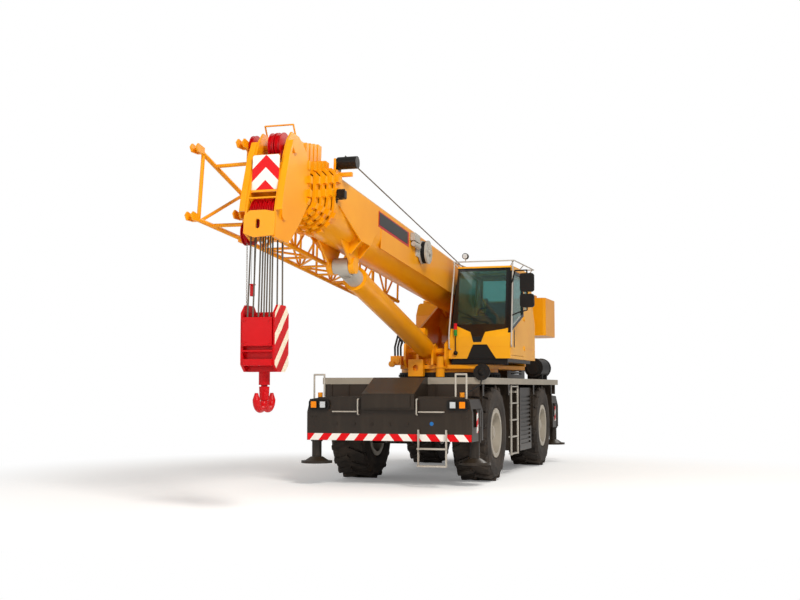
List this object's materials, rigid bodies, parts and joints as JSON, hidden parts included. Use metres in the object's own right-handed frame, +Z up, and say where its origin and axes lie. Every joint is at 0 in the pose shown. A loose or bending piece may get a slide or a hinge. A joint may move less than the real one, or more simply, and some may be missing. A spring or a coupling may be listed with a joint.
{
  "type": "rough terrain crane",
  "caption": "Rough terrain crane with telescopic boom, side cab, outriggers, hook block and stowed lattice jib; wheels, slewing, luffing and boom sections move.",
  "frame": {"origin": "on the ground under the middle of the whole machine", "axes": "+X forward along the machine, +Y to its left, +Z up"},
  "size_m": [13.6, 3.67, 5.3783],
  "materials": {
    "tyre": "matte",
    "rim_paint": "satin",
    "glass": "clear",
    "black_parts": "matte",
    "grey_steel": "satin",
    "lamp": "gloss",
    "red_paint": "satin",
    "rope": "dull",
    "chrome": "polished",
    "yellow_paint": "gloss",
    "carrier_paint": "satin"
  },
  "bodies": {
    "carrier": {"chassis_frame": "carrier_paint", "outrigger_boxes": "carrier_paint", "deck": "carrier_paint", "fenders": "carrier_paint", "engine_hood": "carrier_paint", "engine_block": "black_parts", "cooler_box": "carrier_paint", "fuel_tank": "carrier_paint", "side_steps": "grey_steel", "front_furniture": "grey_steel", "front_lamps": "lamp", "locker": "carrier_paint", "axles": "carrier_paint", "air_cleaner": "black_parts", "slew_ring": "carrier_paint"},
    "knuckle_front_l": {"knuckle_front_l": "carrier_paint"},
    "wheel_front_l": {"rim_front_l": "rim_paint", "tyre_front_l": "tyre"},
    "knuckle_front_r": {"knuckle_front_r": "carrier_paint"},
    "wheel_front_r": {"rim_front_r": "rim_paint", "tyre_front_r": "tyre"},
    "knuckle_rear_l": {"knuckle_rear_l": "carrier_paint"},
    "wheel_rear_l": {"rim_rear_l": "rim_paint", "tyre_rear_l": "tyre"},
    "knuckle_rear_r": {"knuckle_rear_r": "carrier_paint"},
    "wheel_rear_r": {"rim_rear_r": "rim_paint", "tyre_rear_r": "tyre"},
    "outrigger_fr": {"beam_fr": "carrier_paint"},
    "jack_foot_fr": {"jack_fr": "carrier_paint"},
    "outrigger_fl": {"beam_fl": "carrier_paint"},
    "jack_foot_fl": {"jack_fl": "carrier_paint"},
    "outrigger_rr": {"beam_rr": "carrier_paint"},
    "jack_foot_rr": {"jack_rr": "carrier_paint"},
    "outrigger_rl": {"beam_rl": "carrier_paint"},
    "jack_foot_rl": {"jack_rl": "carrier_paint"},
    "superstructure": {"turntable": "yellow_paint", "slew_drive": "yellow_paint", "counterweight": "yellow_paint", "cab_shell": "yellow_paint", "cab_glass": "glass", "cab_interior": "black_parts", "cab_trim": "black_parts", "mirrors": "black_parts", "right_body": "yellow_paint"},
    "cab_door": {"cab_door": "yellow_paint", "door_glass": "glass"},
    "winch_drum": {"winch_main": "carrier_paint"},
    "boom": {"boom_base": "yellow_paint", "jib": "yellow_paint", "hose_reel": "black_parts"},
    "section_2": {"boom_2": "yellow_paint"},
    "section_3": {"boom_3": "yellow_paint"},
    "section_4": {"boom_4": "yellow_paint"},
    "section_5": {"boom_head": "yellow_paint", "head_sheaves": "red_paint"},
    "luff_barrel": {"cylinder_barrel": "yellow_paint"},
    "luff_rod": {"cylinder_rod": "chrome"},
    "hook_block": {"hook_block": "red_paint", "hoist_ropes": "rope"},
    "hook": {"hook": "red_paint"}
  },
  "joints": [
    {"name": "steer_front_l", "type": "hinge", "parent": "carrier", "child": "knuckle_front_l", "pos_m": [-0.15, 0.695, 0.875], "axis": [0, 0, 1], "range_deg": [-28, 28]},
    {"name": "roll_front_l", "type": "hinge", "parent": "knuckle_front_l", "child": "wheel_front_l", "pos_m": [-0.15, 0.985, 0.875], "axis": [0, 1, 0], "continuous": true},
    {"name": "steer_front_r", "type": "hinge", "parent": "carrier", "child": "knuckle_front_r", "pos_m": [-0.15, -1.025, 0.875], "axis": [0, 0, 1], "range_deg": [-28, 28]},
    {"name": "roll_front_r", "type": "hinge", "parent": "knuckle_front_r", "child": "wheel_front_r", "pos_m": [-0.15, -1.315, 0.875], "axis": [0, 1, 0], "continuous": true},
    {"name": "steer_rear_l", "type": "hinge", "parent": "carrier", "child": "knuckle_rear_l", "pos_m": [-4.73, 0.695, 0.875], "axis": [0, 0, 1], "range_deg": [-28, 28]},
    {"name": "roll_rear_l", "type": "hinge", "parent": "knuckle_rear_l", "child": "wheel_rear_l", "pos_m": [-4.73, 0.985, 0.875], "axis": [0, 1, 0], "continuous": true},
    {"name": "steer_rear_r", "type": "hinge", "parent": "carrier", "child": "knuckle_rear_r", "pos_m": [-4.73, -1.025, 0.875], "axis": [0, 0, 1], "range_deg": [-28, 28]},
    {"name": "roll_rear_r", "type": "hinge", "parent": "knuckle_rear_r", "child": "wheel_rear_r", "pos_m": [-4.73, -1.315, 0.875], "axis": [0, 1, 0], "continuous": true},
    {"name": "beam_out_fr", "type": "slide", "parent": "carrier", "child": "outrigger_fr", "axis": [0, -1, 0], "range_m": [0, 2.1]},
    {"name": "jack_down_fr", "type": "slide", "parent": "outrigger_fr", "child": "jack_foot_fr", "axis": [0, 0, -1], "range_m": [0, 0.37]},
    {"name": "beam_out_fl", "type": "slide", "parent": "carrier", "child": "outrigger_fl", "axis": [0, 1, 0], "range_m": [0, 2.1]},
    {"name": "jack_down_fl", "type": "slide", "parent": "outrigger_fl", "child": "jack_foot_fl", "axis": [0, 0, -1], "range_m": [0, 0.37]},
    {"name": "beam_out_rr", "type": "slide", "parent": "carrier", "child": "outrigger_rr", "axis": [0, -1, 0], "range_m": [0, 2.1]},
    {"name": "jack_down_rr", "type": "slide", "parent": "outrigger_rr", "child": "jack_foot_rr", "axis": [0, 0, -1], "range_m": [0, 0.37]},
    {"name": "beam_out_rl", "type": "slide", "parent": "carrier", "child": "outrigger_rl", "axis": [0, 1, 0], "range_m": [0, 2.1]},
    {"name": "jack_down_rl", "type": "slide", "parent": "outrigger_rl", "child": "jack_foot_rl", "axis": [0, 0, -1], "range_m": [0, 0.37]},
    {"name": "slew", "type": "hinge", "parent": "carrier", "child": "superstructure", "pos_m": [-2.3, -0.165, 1.883], "axis": [0, 0, 1], "continuous": true},
    {"name": "door_swing", "type": "hinge", "parent": "superstructure", "child": "cab_door", "pos_m": [-2.63, 1.337, 3.17], "axis": [0, 0, 1], "range_deg": [0, 85]},
    {"name": "winch_turn", "type": "hinge", "parent": "superstructure", "child": "winch_drum", "pos_m": [-4.965, -0.365, 3.42], "axis": [0, 1, 0], "continuous": true},
    {"name": "luff", "type": "hinge", "parent": "superstructure", "child": "boom", "pos_m": [-4.3, -0.365, 3.45], "axis": [0, -1, 0], "range_deg": [-3, 75]},
    {"name": "extend_2", "type": "slide", "parent": "boom", "child": "section_2", "axis": [0.9962, 0, 0.0872], "range_m": [0, 7]},
    {"name": "extend_3", "type": "slide", "parent": "section_2", "child": "section_3", "axis": [0.9962, 0, 0.0872], "range_m": [0, 7]},
    {"name": "extend_4", "type": "slide", "parent": "section_3", "child": "section_4", "axis": [0.9962, 0, 0.0872], "range_m": [0, 7]},
    {"name": "extend_5", "type": "slide", "parent": "section_4", "child": "section_5", "axis": [0.9962, 0, 0.0872], "range_m": [0, 7]},
    {"name": "cylinder_swing", "type": "hinge", "parent": "superstructure", "child": "luff_barrel", "pos_m": [-1.4, -0.365, 2.42], "axis": [0, -1, 0], "range_deg": [-3.82, 83.56]},
    {"name": "rod_slide", "type": "slide", "parent": "luff_barrel", "child": "luff_rod", "axis": [0.9704, 0, 0.2413], "range_m": [-0.15516, 3.63902]},
    {"name": "hook_plumb", "type": "hinge", "parent": "section_5", "child": "hook_block", "pos_m": [6.44284, -0.365, 4.05862], "axis": [0, -1, 0], "range_deg": [-75.5, 3.5]},
    {"name": "hook_turn", "type": "hinge", "parent": "hook_block", "child": "hook", "pos_m": [6.5, -0.365, 2], "axis": [0, 0, 1], "continuous": true}
  ],
  "couplings": [
    {"joint": "steer_front_r", "follows": "steer_front_l", "ratio": 1},
    {"joint": "steer_rear_r", "follows": "steer_rear_l", "ratio": 1},
    {"joint": "extend_3", "follows": "extend_2", "ratio": 1},
    {"joint": "extend_4", "follows": "extend_2", "ratio": 1},
    {"joint": "extend_5", "follows": "extend_2", "ratio": 1},
    {"joint": "cylinder_swing", "follows": "luff", "ratio": 1.1075},
    {"joint": "rod_slide", "follows": "luff", "m_per_rad": 2.7724},
    {"joint": "hook_plumb", "follows": "luff", "ratio": -1}
  ]
}
